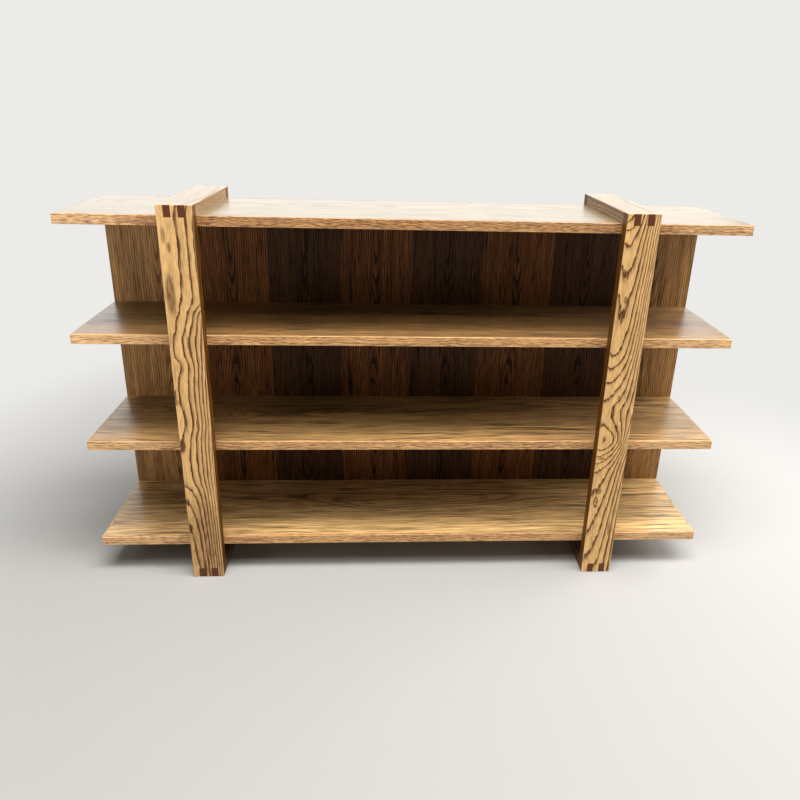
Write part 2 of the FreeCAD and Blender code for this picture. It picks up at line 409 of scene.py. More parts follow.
right_post_counts = (
    (0, .3, 3.4, 9.8), (27, 1.1, 3.7, 10), (50, 2.1, 4.0, 10.3), (93, 3.2, 4.5, 10.6), (160, 4.15, 5.0, 10.9),
    (225, 4.7, 5.5, 11.5), (253, 5.3, 5.75, 11.8), (333, 5.5, 6.15, 12), (393, 5.7, 6.75, 12.2),
    (433, 6, 7.15, 12.5), (480, 7, 8.0, 12.8), (533, 8, 9.0, 12.7), (593, 9, 9.95, 12.8),
    (640, 9.4, 10.7, 13.0), (693, 9, 10.1, 13.6), (720, 8.7, 9.5, 14.1), (740, 8.6, 9.2, 14.8),
    (767, 8.95, 9.8, 15.8), (800, 10, 11.3, 16.6), (827, 11, 12.3, 17), (860, 12, 13.3, 17.4),
    (930, 13, 14.1, 17.9), (1000, 13.45, 14.7, 18.3), (1087, 14, 15.3, 18.5), (1200, 15, 16, 18.6),
    (1270, 15.7, 16.5, 18.6))
right_post_eyes = ((983, 20, 30, 13, -.55),)
right_post_patches = (
    (740, 20, 13, 6, .5), (940, 26, 13, 13, .4), (976, 18, 13, 8, .4), (1000, 21, 5, 11, .5),
    (262, 27, 16, 9, .5), (640, 38, 34, 6, .5), (592, 49, 14, 6, .5), (700, 55, 16, 6, .5),
    (1186, 18, 10, 9, .5), (1150, 30, 16, 7, .5), (1090, 78, 36, 5, .5), (813, 20, 6, 20, .5))
figures = {"left": (left_post_counts, (), left_post_patches),
           "right": (right_post_counts, right_post_eyes, right_post_patches)}
print("rows of ring counts:", len(left_post_counts), len(right_post_counts))

# %% [markdown]
# ## The figure of the back
# The back is one log's veneer, laid leaf by leaf with every second leaf turned over, so that each joint is a
# mirror. A mirror that repeats is what Ping-Pong gives, one leaf wide. Each leaf is cut flat from the middle
# of the log, so it has a heart of nested arches on its own centre line. The arches point down, up and down
# again in the three tiers, because the log is a little wavy: the pith comes nearer to the veneer and leaves
# it again. Along the heart the pores are cut open lengthwise, so they hold more stain. All sizes are in mm,
# and the leaves are counted from the right end of the back, which is the first joint.

# %% Find the heart of each leaf
leaf_joint = 1021.7
leaf_width = 252.05
heart_sway = 9
heart_sway_length = 240
heart_depth = 17.0
heart_dip = 13.0
log_wave_length = 770.0
log_wave_crest = 762.0


def across_a_leaf(tree, across, middle):
    """Distance in mm from the joint at one side of a leaf, with every second leaf turned over."""
    from_joint = add(tree, "ShaderNodeMath", {0: across, 1: middle.x * mm_per_m - leaf_joint},
                     operation="ADD")
    mirrored = add(tree, "ShaderNodeMath", {0: from_joint.outputs[0], 1: leaf_width}, operation="PINGPONG")
    return mirrored.outputs[0]


def depth_of_the_heart(tree, up_the_back, middle):
    """How deep the pith lies behind the veneer in mm, where the log is wavy."""
    turn_per_mm = 2 * math.pi / log_wave_length
    phase = add(tree, "ShaderNodeMath", {
        0: up_the_back, 1: turn_per_mm, 2: (middle.z * mm_per_m - log_wave_crest) * turn_per_mm},
        operation="MULTIPLY_ADD")
    wave = add(tree, "ShaderNodeMath", {0: phase.outputs[0]}, operation="COSINE")
    depth = add(tree, "ShaderNodeMath", {0: wave.outputs[0], 1: heart_dip, 2: heart_depth},
                operation="MULTIPLY_ADD")
    return depth.outputs[0]


print("leaves in the back:", int(2 * leaf_joint / leaf_width))

# %% [markdown]
# With the heart known, a leaf's rings are counted as in any board: the distance from the pith over the width
# of a ring, with a ripple that runs up the leaf.

# %% Count the rings of a leaf
leaf_ring = 8.0
leaf_ripple = {"length": 90, "width": 7, "reach": 3.0}
open_heart_from = 3.0
open_heart_to = 24.0
open_heart_stain = 0.22


def rings_of_a_leaf(tree, place, middle, seed):
    """The rings at a point of the back, how wide one is in mm, and the stain in the open hearts."""
    up_the_back, across, through = place
    in_leaf = across_a_leaf(tree, across, middle)
    leaning = wander(tree, up_the_back, heart_sway_length, heart_sway, seed)
    heart = add(tree, "ShaderNodeMath", {0: in_leaf, 1: leaf_width / 2}, operation="SUBTRACT")
    aside = add(tree, "ShaderNodeMath", {0: heart.outputs[0], 1: leaning}, operation="SUBTRACT")
    depth = depth_of_the_heart(tree, up_the_back, middle)
    section = add(tree, "ShaderNodeCombineXYZ", {0: aside.outputs[0], 1: depth})
    from_pith = add(tree, "ShaderNodeVectorMath", {0: section.outputs[0]}, operation="LENGTH")
    own_place = [up_the_back, heart.outputs[0], through]
    ripple = add(tree, "ShaderNodeMapRange", {
        "Value": streaks(tree, own_place, leaf_ripple["length"], leaf_ripple["width"], seed),
        "To Min": -leaf_ripple["reach"], "To Max": leaf_ripple["reach"]})
    rippled = add(tree, "ShaderNodeMath", {0: from_pith.outputs["Value"], 1: ripple.outputs[0]},
                  operation="ADD")
    rings = add(tree, "ShaderNodeMath", {0: rippled.outputs[0], 1: 1 / leaf_ring}, operation="MULTIPLY")
    from_heart = add(tree, "ShaderNodeMath", {0: aside.outputs[0]}, operation="ABSOLUTE")
    open_heart = add(tree, "ShaderNodeMapRange", {
        "Value": from_heart.outputs[0], "From Min": open_heart_from, "From Max": open_heart_to,
        "To Min": open_heart_stain, "To Max": 0.0}, interpolation_type="SMOOTHSTEP")
    return rings.outputs[0], leaf_ring, open_heart.outputs[0]


print("rings from a heart to the edge of its leaf:", int(leaf_width / 2 / leaf_ring))

# %% [markdown]
# ## Stain in the open pores
# Oak is ring-porous. Each year starts with a band of wide pores, and a dark stain stays in them, so every
# ring has a dark edge that is sharp on the side of the pith and fades outwards. This band of pores is about
# as wide in a good year as in an average one, and only the dense wood after it grows more, so the band is
# measured in millimetres. In a very lean year it takes a fixed share of the ring. The profile is noted as
# places along four such bands and how much stain is held there.

# %% Shape the stain across a ring
lean_share = 0.28
ring_profile = ((0.00, 0.0), (0.03, 1.0), (0.22, 0.9), (0.34, 0.35), (0.60, 0.06), (1.00, 0.0))
profile_bands = 4.0


def profile_of_a_ring(tree, rings, mm_per_ring, band):
    """How much stain a ring holds from its pores to its late wood. The band of pores is so many mm wide."""
    year = add(tree, "ShaderNodeMath", {0: rings}, operation="FRACT")
    grown = add(tree, "ShaderNodeMath", {0: year.outputs[0], 1: mm_per_ring}, operation="MULTIPLY")
    lean_band = add(tree, "ShaderNodeMath", {0: mm_per_ring, 1: lean_share}, operation="MULTIPLY")
    own_band = add(tree, "ShaderNodeMath", {0: lean_band.outputs[0], 1: band}, operation="MINIMUM")
    profile_mm = add(tree, "ShaderNodeMath", {0: own_band.outputs[0], 1: profile_bands}, operation="MULTIPLY")
    in_bands = add(tree, "ShaderNodeMath", {0: grown.outputs[0], 1: profile_mm.outputs[0]},
                   operation="DIVIDE")
    profile = add(tree, "ShaderNodeValToRGB", {0: in_bands.outputs[0]})
    stops = profile.color_ramp.elements
    for index, (position, grey) in enumerate(ring_profile):
        stop = stops[index] if index < 2 else stops.new(position)
        stop.position = position
        stop.color = (grey, grey, grey, 1)
    return profile.outputs[0]


print("pores take", lean_share, "of a lean ring")

# %% [markdown]
# No line is the same strength all along. Here and there it is weaker, and the narrow rings of lean years hold
# less stain than the wide ones of good years.

# %% Turn rings into light and dark wood
weak_lines = {"length": 110, "width": 14, "from": 0.25, "to": 0.6, "strength": 0.75}
lean_ring = 4.0
good_ring = 14.0
lean_strength = 0.7


def ring_lines(tree, rings, mm_per_ring, place, wood):
    """The stain in the rings: 1 in a strong band of pores and 0 in late wood."""
    profile = profile_of_a_ring(tree, rings, mm_per_ring, wood["band"])
    patchy = streaks(tree, place, weak_lines["length"], weak_lines["width"],
                     wood["seed"] + mark_seeds["lines"])
    strength = add(tree, "ShaderNodeMapRange", {
        "Value": patchy, "From Min": weak_lines["from"], "From Max": weak_lines["to"],
        "To Min": weak_lines["strength"], "To Max": 1.0})
    lines = add(tree, "ShaderNodeMath", {0: profile, 1: strength.outputs[0]}, operation="MULTIPLY")
    pale_when_lean = add(tree, "ShaderNodeMapRange", {
        "Value": mm_per_ring, "From Min": lean_ring, "From Max": good_ring,
        "To Min": lean_strength, "To Max": 1.0})
    drawn = add(tree, "ShaderNodeMath", {0: lines.outputs[0], 1: pale_when_lean.outputs[0]},
                operation="MULTIPLY")
    return drawn.outputs[0]


print("a ring is lean below", lean_ring, "mm and good above", good_ring, "mm")

# %% [markdown]
# Between the rings lie finer marks. Pores are slits a fraction of a millimetre wide. They are drawn two to
# four millimetres wide here, because anything finer is lost in the picture. Longer dark marks are where
# several pores run together. They come gathered in patches, with calm wood between them, and without that
# they would look printed.

# %% Add the pores and the marks
pore_detail, mark_detail = 1.0, 3.5
pores_from, pores_to = 0.38, 0.7
marks_from, marks_to = 0.55, 0.66
gathering_length, gathering_width = 420, 60
gathered_from, gathered_to = 0.4, 0.6
fewest_marks, most_marks = 0.15, 1.4


def stain_in_the_grain(tree, place, wood, rings, mm_per_ring, patches):
    """How much stain the wood holds at a point, from 0 to 1."""
    seed = wood["seed"]
    lines = ring_lines(tree, rings, mm_per_ring, place, wood)
    drawn = add(tree, "ShaderNodeMath", {0: lines, 1: wood["lines"], 2: patches}, operation="MULTIPLY_ADD")
    fine = streaks(tree, place, wood["pore_length"], wood["pore_width"], seed + mark_seeds["pores"],
                   pore_detail)
    pores = add(tree, "ShaderNodeMapRange", {
        "Value": fine, "From Min": pores_from, "From Max": pores_to, "To Max": wood["pores"]})
    coarse = streaks(tree, place, *wood["mark_size"], seed + mark_seeds["marks"], mark_detail)
    marks = add(tree, "ShaderNodeMapRange", {
        "Value": coarse, "From Min": marks_from, "From Max": marks_to, "To Max": wood["marks"]})
    broad = streaks(tree, place, gathering_length, gathering_width, seed + mark_seeds["gathering"])
    gathered = add(tree, "ShaderNodeMapRange", {
        "Value": broad, "From Min": gathered_from, "From Max": gathered_to,
        "To Min": fewest_marks, "To Max": most_marks})
    here = add(tree, "ShaderNodeMath", {0: marks.outputs[0], 1: gathered.outputs[0]}, operation="MULTIPLY")
    open_grain = add(tree, "ShaderNodeMath", {0: drawn.outputs[0], 1: pores.outputs[0]}, operation="ADD")
    stain = add(tree, "ShaderNodeMath", {0: open_grain.outputs[0], 1: here.outputs[0]}, operation="ADD",
                use_clamp=True)
    return stain.outputs[0]


print("marks are gathered in patches", gathering_length, "mm long")

# %% [markdown]
# ## Painted light at the ends
# Outside the two frames the back and the front edges are painted paler and less red than between them.
# This is painted light: these ends are open to the side, where more light reaches them than between the
# frames. The rear gets none of it and keeps its colour.

# %% Find the ends that get painted light
lit_ends_from = 0.755
lit_ends_to = 0.84


def lit_ends_share(tree):
    """0 between the frames and 1 outside them, from the distance to the middle in metres."""
    coordinates = add(tree, "ShaderNodeTexCoord")
    split = add(tree, "ShaderNodeSeparateXYZ", {0: coordinates.outputs["Object"]})
    from_middle = add(tree, "ShaderNodeMath", {0: split.outputs[0]}, operation="ABSOLUTE")
    share = add(tree, "ShaderNodeMapRange", {
        "Value": from_middle.outputs[0], "From Min": lit_ends_from, "From Max": lit_ends_to},
        interpolation_type="SMOOTHSTEP")
    return share.outputs[0]


# how far the painted light reaches in from each end
print("daylight bleaches the outer", round(cad_high.x - lit_ends_to, 2), "m at each end")

# %% [markdown]
# ## The colour of the grain
# The dense late wood takes little stain and the pores of the early wood take a lot, so the colour is a mix of
# the two by how much stain a point holds. Broad bands run lighter and darker along the board, as they do
# where the tree grew faster or slower.

# %% Colour the grain
band_width = 14
bands_from, bands_to = 0.3, 0.7


def colour_of_the_grain(tree, place, wood, stain):
    """Late and early wood mixed by the stain, painted paler at the lit ends, in lighter and darker bands."""
    late, early = colour(wood["late"]), colour(wood["early"])
    skin = add(tree, "ShaderNodeMix", {0: stain, first_colour: late, second_colour: early}, data_type="RGBA")
    # painted light: outside the frames the wood gets paler tones, where more light falls
    if "lit_end_tones" in wood:
        late, early = [colour(tone) for tone in wood["lit_end_tones"]]
        pale = add(tree, "ShaderNodeMix", {0: stain, first_colour: late, second_colour: early},
                   data_type="RGBA")
        skin = add(tree, "ShaderNodeMix", {
            0: lit_ends_share(tree), first_colour: skin.outputs[mixed_colour],
            second_colour: pale.outputs[mixed_colour]}, data_type="RGBA")
    broad = streaks(tree, place, wood["band_length"], band_width, wood["seed"] + mark_seeds["bands"])
    bands = add(tree, "ShaderNodeMapRange", {
        "Value": broad, "From Min": bands_from, "From Max": bands_to,
        "To Min": 1 - wood["bands"], "To Max": 1 + wood["bands"]})
    banded = add(tree, "ShaderNodeVectorMath", {0: skin.outputs[mixed_colour], "Scale": bands.outputs[0]},
                 operation="SCALE")
    return banded.outputs[0]


print("bands of colour are", band_width, "mm wide")

# %% [markdown]
# ## Worn and lit edges
# A finisher's cloth rubs the stain thin on every arris, so edges are a little paler than the faces, and the
# pale line is also a painted highlight where the rounded arris catches the light. The distance to the nearest
# edge comes from the box of the board: of the three distances to its sides, the smallest is nearly nothing,
# because the point is on the surface, and the middle one is the distance to the edge.

# %% Find the edges of a board
wear_and_highlight_from = 0.001
wear_and_highlight_to = 0.0035


def edge_wear_and_highlight(tree, corners):
    """1 on the arrises of a box and 0 a few mm away from them."""
    low, high = corners
    coordinates = add(tree, "ShaderNodeTexCoord")
    centred = add(tree, "ShaderNodeVectorMath", {0: coordinates.outputs["Object"], 1: (low + high) / 2},
                  operation="SUBTRACT")
    outwards = add(tree, "ShaderNodeVectorMath", {0: centred.outputs[0]}, operation="ABSOLUTE")
    inwards = add(tree, "ShaderNodeVectorMath", {0: (high - low) / 2, 1: outwards.outputs[0]},
                  operation="SUBTRACT")
    x, y, z = add(tree, "ShaderNodeSeparateXYZ", {0: inwards.outputs[0]}).outputs
    nearer = add(tree, "ShaderNodeMath", {0: x, 1: y}, operation="MINIMUM")
    farther = add(tree, "ShaderNodeMath", {0: x, 1: y}, operation="MAXIMUM")
    other = add(tree, "ShaderNodeMath", {0: farther.outputs[0], 1: z}, operation="MINIMUM")
    to_edge = add(tree, "ShaderNodeMath", {0: nearer.outputs[0], 1: other.outputs[0]}, operation="MAXIMUM")
    wear_and_highlight = add(tree, "ShaderNodeMapRange", {
        "Value": to_edge.outputs[0], "From Min": wear_and_highlight_from, "From Max": wear_and_highlight_to,
        "To Min": 1.0, "To Max": 0.0})
    return wear_and_highlight.outputs[0]


print("edges are rubbed over", mm_per_m * wear_and_highlight_to, "mm")

# %% [markdown]
# ## Face, sides and ends
# The same wood looks different from each side. The narrow sides cut the rings steeply, so their stain is
# darker or greyer than the face, and on the posts their brown is also painted shade. The ends are cut
# across the pores, which drink the most stain, though on the posts they are painted pale as a painted
# highlight. The way a surface faces tells them apart, and the rounding between them blends one into the next.

# %% Colour the face, the sides and the ends
facing_from = 0.5
facing_to = 0.9
rubbed_and_highlit_share = 0.25


def facing(tree, axis):
    """1 where the surface faces along one axis, and 0 where it faces across it."""
    surface = add(tree, "ShaderNodeNewGeometry")
    split = add(tree, "ShaderNodeSeparateXYZ", {0: surface.outputs["Normal"]})
    slope = add(tree, "ShaderNodeMath", {0: split.outputs[axis]}, operation="ABSOLUTE")
    share = add(tree, "ShaderNodeMapRange", {
        "Value": slope.outputs[0], "From Min": facing_from, "From Max": facing_to},
        interpolation_type="SMOOTHSTEP")
    return share.outputs[0]


def colour_of_the_board(tree, axes, outline, wood, stain, grain):
    """The grain on the face, tinted on the sides, partly as painted shade on the posts, rubbed pale and
    painted with a highlight on the edges, with its own end grain.
    """
    sides = add(tree, "ShaderNodeMix", {
        0: facing(tree, axes[1]), first_colour: colour("#ffffff"), second_colour: colour(wood["sides"])},
        data_type="RGBA")
    soaked = add(tree, "ShaderNodeVectorMath", {0: grain, 1: sides.outputs[mixed_colour]},
                 operation="MULTIPLY")
    # the pale edge is both rubbed stain and a painted highlight on the arris
    rubbed_and_highlit = add(tree, "ShaderNodeMath", {0: edge_wear_and_highlight(tree, outline), 1: rubbed_and_highlit_share}, operation="MULTIPLY")
    worn_and_highlit = add(tree, "ShaderNodeMix", {
        0: rubbed_and_highlit.outputs[0], first_colour: soaked.outputs[0], second_colour: colour(wood["worn_and_highlit"])},
        data_type="RGBA")
    late, early = [colour(tone) for tone in wood["ends"]]
    end_wood = add(tree, "ShaderNodeMix", {0: stain, first_colour: late, second_colour: early},
                   data_type="RGBA")
    whole = add(tree, "ShaderNodeMix", {
        0: facing(tree, axes[0]), first_colour: worn_and_highlit.outputs[mixed_colour],
        second_colour: end_wood.outputs[mixed_colour]}, data_type="RGBA")
    return whole.outputs[mixed_colour]


print("an edge is rubbed by", rubbed_and_highlit_share)

# %% [markdown]
# ## A satin coat
# The finish is a brown stain and then a satin clear coat, so a face is smooth but not glossy, and the pores
# stay a little open and dull. Flat tops get more coats than upright faces, because the finish can be flooded
# on, so they shine more. A board that has the same coat all over gets it as a plain number.

# %% Put more coats on the flat tops
def clear_coat(tree, wood):
    """How much clear coat a face has, more on flat tops than on upright faces."""
    if wood["coat"] == wood["top_coat"]:
        return wood["coat"]
    surface = add(tree, "ShaderNodeNewGeometry")
    split = add(tree, "ShaderNodeSeparateXYZ", {0: surface.outputs["Normal"]})
    coat = add(tree, "ShaderNodeMapRange", {
        "Value": split.outputs[2], "From Min": facing_from, "From Max": facing_to,
        "To Min": wood["coat"], "To Max": wood["top_coat"]})
    return coat.outputs[0]


print("a flat top is within", round(math.degrees(math.acos(facing_to))), "degrees of level")

# %% [markdown]
# Everything comes together here: the count of the rings, the stain, the colours and the finish. The stained
# pores are the lowest and dullest part of the surface, so the same stain drives the relief and the roughness.

# %% Build one stained oak material
closed_roughness = 0.38
open_roughness = 0.55
pore_depth = 0.0003
pore_relief = 0.3
coat_roughness = 0.3
wood_ior = 1.5


def stained_oak(name, axes, corners, outline, wood, count_rings, *cut):
    """A material for one board. The wood holds its hex colours and how strongly each mark shows."""
    material = bpy.data.materials.new(name)
    material.use_nodes = True
    tree = material.node_tree
    tree.nodes.clear()
    place = place_in_board(tree, axes, (corners[0] + corners[1]) / 2)
    stain = stain_in_the_grain(tree, place, wood, *count_rings(tree, place, *cut))
    grain = colour_of_the_grain(tree, place, wood, stain)
    skin = colour_of_the_board(tree, axes, outline, wood, stain, grain)
    sheen = add(tree, "ShaderNodeMapRange", {
        "Value": stain, "To Min": closed_roughness, "To Max": open_roughness})
    relief = add(tree, "ShaderNodeBump", {"Height": stain, "Strength": pore_relief, "Distance": pore_depth},
                 invert=True)
    shader = add(tree, "ShaderNodeBsdfPrincipled", {
        "Coat Weight": clear_coat(tree, wood), "Coat Roughness": coat_roughness, "IOR": wood_ior,
        "Specular IOR Level": wood["gloss"], "Base Color": skin, "Roughness": sheen.outputs[0],
        "Normal": relief.outputs[0]})
    add(tree, "ShaderNodeOutputMaterial", {0: shader.outputs[0]})
    return material


print("roughness of closed and open wood:", closed_roughness, open_roughness)

# %% [markdown]
# A CAD node keeps its shape and only gets a better material, in its own material slot.

# %% Dress a piece
def dress(node, material):
    """Give a CAD node its material."""
    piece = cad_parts[node]
    if not piece.material_slots:
        piece.data.materials.append(material)
    piece.material_slots[0].material = material


print("pieces to dress:", len(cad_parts))

# %% [markdown]
# ## The two frames
# The front posts are the palest boards: their late wood took little stain, so the rings stand out nearly
# black on gold, while their narrow sides are brown, partly as painted shade. Each post is cut along Z, with
# its face to the front. The rails are cut along Y, so their fingers show dark end grain on the front of the
# posts, which is what makes the finger joint read from afar. Their tops are a little greyer than their sides,
# and the rails on the floor are painted darkest, as painted shade under the bottom shelf. The ends of the
# posts are painted as pale as the rail, as a painted highlight for the glare on top of the frame. A wood is
# written down as its hex colours, then how strongly its lines, pores, marks and bands show and how large they
# are in mm, and then its gloss and its coats.

# %% Choose the wood of the frames
post_wood = {
    # painted shade: the brown of the posts' narrow sides is partly shade painted into the colour
    "late": "#ecbd7c", "early": "#623c21", "worn_and_highlit": "#f0c794", "sides": "#886c41",
    # painted highlight: the pale ends of the posts stand for the glare on top of the frame
    "ends": ("#a2855d", "#806443"), "lines": 1.0, "band": 4.4, "pores": 0.35, "pore_length": 30,
    "pore_width": 1.8, "marks": 0.2, "mark_size": (60, 5), "bands": 0.12, "band_length": 200,
    "gloss": 0.15, "coat": 0.0, "top_coat": 0.69}
rail_wood = {
    **post_wood, "late": "#a98a59", "early": "#6f4329", "worn_and_highlit": "#b99a72", "sides": "#cdd2cb",
    "ends": ("#6b3416", "#40200f"), "lines": 0.8, "gloss": 0.35}
# painted shade: the rails on the floor are coloured darker for the shade under the bottom shelf
shaded_floor_rail_wood = {**rail_wood, "late": "#6b4a2b", "early": "#3a2012", "worn_and_highlit": "#7a5a38"}
frame_boards = {"front_post": post_wood, "rear_post": post_wood,
                "top_rail": rail_wood, "bottom_rail": shaded_floor_rail_wood}
frame_axes = {"post": (2, 0, 1), "rail": (1, 2, 0)}
frame_cut = {"pith": (-70, 60), "ring": 8, "sway": 5, "dip": 5, "sway_length": 300,
             "ripple": 0.9, "ripple_length": 60}
print("boards in a frame:", list(frame_boards))

# %% [markdown]
# Every board gets a material of its own, with the next seed. Edges are worn and painted with a highlight
# where the whole frame has them, so its joints stay whole.

# %% Dress the two frames
seed = 3
for side in ("left", "right"):
    outline = box_of([f"{side}_{board}" for board in frame_boards])
    for board, wood in frame_boards.items():
        node = f"{side}_{board}"
        axes = frame_axes[board.rsplit("_", 1)[1]]
        low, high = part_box(node)
        way = (rings_from_pith, {**frame_cut, "seed": seed})
        if board == "front_post":
            size = [mm_per_m * (high - low)[axis] for axis in axes]
            way = (rings_counted_by_eye, size, figures[side], seed)
        dress(node, stained_oak(f"stained oak, {node}", axes, (low, high), outline,
                                {**wood, "seed": seed}, *way))
        seed += 1
print("frames dressed")

# %% [markdown]
# ## The shelves
# A shelf is a board of plywood with oak veneer on both faces and solid oak lippings round its edges. The
# veneer is sliced, so its rings run long and close together. It is painted darkest on the top shelf and paler
# from shelf to shelf downwards; this is painted light, as the lower shelves are lit deeper and the top one
# takes the glare. The lippings were sawn from odd strips, which turned out redder and mottled, with short
# flecks. Those at the front are golden, and a little greyer on top.

# %% Choose the wood of the shelves
veneer_wood = {
    "sides": "#ffffff", "ends": ("#6b3416", "#40200f"), "lines": 0.6, "band": 2.0, "pores": 0.55,
    "pore_length": 90, "pore_width": 4.0, "mark_size": (210, 6.5), "bands": 0.28, "band_length": 420,
    "gloss": 0.5, "coat": 0.2, "top_coat": 0.8}
veneer_cut = {"pith": (60, -75), "ring": 7, "sway": 40, "dip": 22, "sway_length": 900,
              "ripple": 2.0, "ripple_length": 90}
# painted light: the veneer tones are darker on the top shelf, under its glare, and paler on the lower
# shelves, which are lit deeper
shelf_tones_with_painted_light = {
    "top": {"late": "#806c42", "early": "#46331f", "worn_and_highlit": "#99805b", "marks": 0.5},
    "upper": {"late": "#97703f", "early": "#34200f", "worn_and_highlit": "#a88455", "marks": 0.9},
    "lower": {"late": "#b28a53", "early": "#3a2410", "worn_and_highlit": "#bd9c65", "marks": 0.75},
    "bottom": {"late": "#dab173", "early": "#573b1e", "worn_and_highlit": "#dfbf82", "marks": 0.55}}
lipping_wood = {
    "lines": 0.5, "band": 1.6, "pores": 0.6, "pore_length": 22, "pore_width": 1.8, "marks": 0.6,
    "mark_size": (28, 2.5), "bands": 0.2, "band_length": 90, "gloss": 0.4}
lipping_cut = {"pith": (-24, 40), "ring": 6, "sway": 4, "dip": 4, "sway_length": 120,
               "ripple": 1.2, "ripple_length": 40}
long_lipping_wood = {
    "late": "#e6b272", "early": "#6f3d22", "worn_and_highlit": "#dcb47a", "sides": "#d6d1ca",
    # painted light: the long lippings are paler outside the frames
    "lit_end_tones": ("#f2c488", "#8a5736"), "top_coat": 0.2}
top_lipping_pores = 0.9
top_lipping_late = "#d4a268"
print("shelves:", list(shelf_tones_with_painted_light))

# %% [markdown]
# The veneers of one shelf share a seed, because they come from one log, and so do its lippings. A lipping
# runs along its own edge, so the ones at the ends are cut along Y.

# %% Dress the shelves
veneer_seeds = {"top": 20, "upper": 25, "lower": 30, "bottom": 35}
lipping_seeds = {"top": 40, "upper": 41, "lower": 42, "bottom": 43}
for shelf, tones in shelf_tones_with_painted_light.items():
    shown = [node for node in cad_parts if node.startswith(f"{shelf}_shelf")
             and not node.endswith("tenons") and not node.endswith("core")]
    outline = box_of(shown)
    for node in shown:
        wood = {**veneer_wood, **tones, "seed": veneer_seeds[shelf]}
        cut = {**veneer_cut, "seed": veneer_seeds[shelf]}
        axes = (0, 1, 2)
        if node.endswith("lipping"):
            wood.update(lipping_wood, seed=lipping_seeds[shelf])
            cut = {**lipping_cut, "seed": lipping_seeds[shelf]}
            axes = (1, 2, 0) if "left" in node or "right" in node else (0, 2, 1)
            if shelf == "top":
                wood["pores"] = top_lipping_pores
        if node.endswith("front_lipping") or node.endswith("back_lipping"):
            wood.update(long_lipping_wood)
            if shelf == "top":
                wood["late"] = top_lipping_late
        dress(node, stained_oak(f"stained oak, {node}", axes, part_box(node), outline, wood,
                                rings_from_pith, cut))
print("shelves dressed")

# %% [markdown]
# ## The back
# A turned leaf shows the other side of the veneer. Its pores lean the other way and throw less light back to
# the viewer, so every second leaf is painted darker, as painted shade. Outside the frames the leaves are
# painted paler, as painted light, and the turned ones there more so. The back was only wiped with finish, so
# it shines less than the shelves.

# %% Dress the back
back_wood = {
    "late": "#88562c", "early": "#27150a", "worn_and_highlit": "#8a6841", "sides": "#ffffff",
    # painted light: the leaves outside the frames get paler tones
    "ends": ("#6b3416", "#40200f"), "lit_end_tones": ("#bb8c57", "#735230"), "lines": 0.9, "band": 3.0,
    "pores": 0.5, "pore_length": 50, "pore_width": 1.8, "marks": 0.6, "mark_size": (130, 5),
    "bands": 0.3, "band_length": 500, "gloss": 0.12, "coat": 0.0, "top_coat": 0.0, "seed": 61}
# painted shade: the turned leaves are coloured darker, and paler outside the frames as painted light
turned_leaf_painted_tones = {"late": "#5b3c21", "early": "#1e1007", "lit_end_tones": ("#c8985f", "#7a5634")}
back_nodes = [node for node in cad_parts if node.startswith("back_panel") and not node.endswith("core")]
back_outline = box_of(back_nodes)
back_middle = (back_outline[0] + back_outline[1]) / 2
back_axes = (2, 0, 1)
for node in back_nodes:
    wood = {**back_wood, **turned_leaf_painted_tones} if node.endswith("turned_leaves") else {**back_wood}
    if node.endswith("rear_veneer"):
        del wood["lit_end_tones"]
    dress(node, stained_oak(f"stained oak, {node}", back_axes, back_outline, back_outline, wood,
                            rings_of_a_leaf, back_middle, back_wood["seed"]))
print("pieces of the back dressed:", len(back_nodes))

# %% [markdown]
# ## Plywood and beech inside
# The cores and the loose tenons are hidden, but they are part of the piece and show as soon as someone takes
# it apart. Birch plywood is a stack of peeled plies, each 1.5 mm thick here, with the grain of every second
# one turned. A ply seen from its end is darker than one seen along the grain. Beech is a plain pinkish wood
# with short dark ray flecks. Neither has a finish, so both are dull.

# %% Describe the two bare woods
ply_thickness = 1.5
ply_streak = (70, 2)
ply_seeds = (71, 73)
turned_ply_share = 0.35
dark_ply_from = 0.3
ray_fleck = (5, 0.9)
ray_seed = 75
rays_from, rays_to = 0.5, 0.75


def plies(thin_axis):
    """The share of dark wood in a stack of plies that lie square to one axis."""
    def share_of(tree):
        axes = [axis for axis in range(3) if axis != thin_axis] + [thin_axis]
        place = place_in_board(tree, axes, Vector((0, 0, 0)))
        pairs = add(tree, "ShaderNodeMath", {0: place[2], 1: 0.5 / ply_thickness}, operation="MULTIPLY")
        turn = add(tree, "ShaderNodeMath", {0: pairs.outputs[0]}, operation="FRACT")
        crossed = add(tree, "ShaderNodeMath", {0: turn.outputs[0], 1: 0.5}, operation="GREATER_THAN")
        along = streaks(tree, place, *ply_streak, ply_seeds[0])
        across = streaks(tree, [place[1], place[0], place[2]], *ply_streak, ply_seeds[1])
        grain = add(tree, "ShaderNodeMix", {"Factor": crossed.outputs[0], "A": along, "B": across})
        share = add(tree, "ShaderNodeMath", {0: crossed.outputs[0], 1: turned_ply_share, 2: grain.outputs[0]},
                    operation="MULTIPLY_ADD")
        dark = add(tree, "ShaderNodeMapRange", {"Value": share.outputs[0], "From Min": dark_ply_from})
        return dark.outputs[0]
    return share_of


def ray_flecks(tree):
    """The share of dark flecks on beech, whose tenons are cut along Y."""
    place = place_in_board(tree, (1, 0, 2), Vector((0, 0, 0)))
    flecks = streaks(tree, place, *ray_fleck, ray_seed, 0.0)
    dark = add(tree, "ShaderNodeMapRange", {"Value": flecks, "From Min": rays_from, "From Max": rays_to})
    return dark.outputs[0]


core_low, core_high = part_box("top_shelf_core")
print("plies in a shelf:", round(mm_per_m * (core_high - core_low).z / ply_thickness))

# %% [markdown]
# Both woods are two colours mixed by such a share, and the same share gives a slight relief.

# %% Dress the inside
bare_roughness = 0.7
bare_relief = 0.2
bare_depth = 0.0002
birch_tones = ("#d9bd92", "#a98256")
beech_tones = ("#d9b089", "#9c6b4b")


